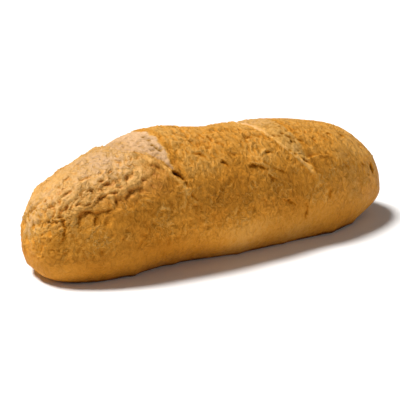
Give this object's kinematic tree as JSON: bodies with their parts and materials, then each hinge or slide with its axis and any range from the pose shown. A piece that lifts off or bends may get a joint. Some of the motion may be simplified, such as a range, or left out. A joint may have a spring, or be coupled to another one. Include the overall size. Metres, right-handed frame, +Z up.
{
  "type": "bread loaf",
  "caption": "Long hearth-baked wheat rye loaf with rounded ends, a flat base, diagonal slashes across the crown and a wrinkled brown crust.",
  "frame": {"origin": "centre of the loaf's length and width on the surface that its base rests on", "axes": "+X along the loaf towards the end that is further from the camera, +Y to the back, +Z up"},
  "size_m": [0.309, 0.1128, 0.0943],
  "materials": {
    "crust": "golden-brown baked bread crust with a soft sheen"
  },
  "bodies": {
    "root": {"loaf": "crust"}
  },
  "joints": []
}
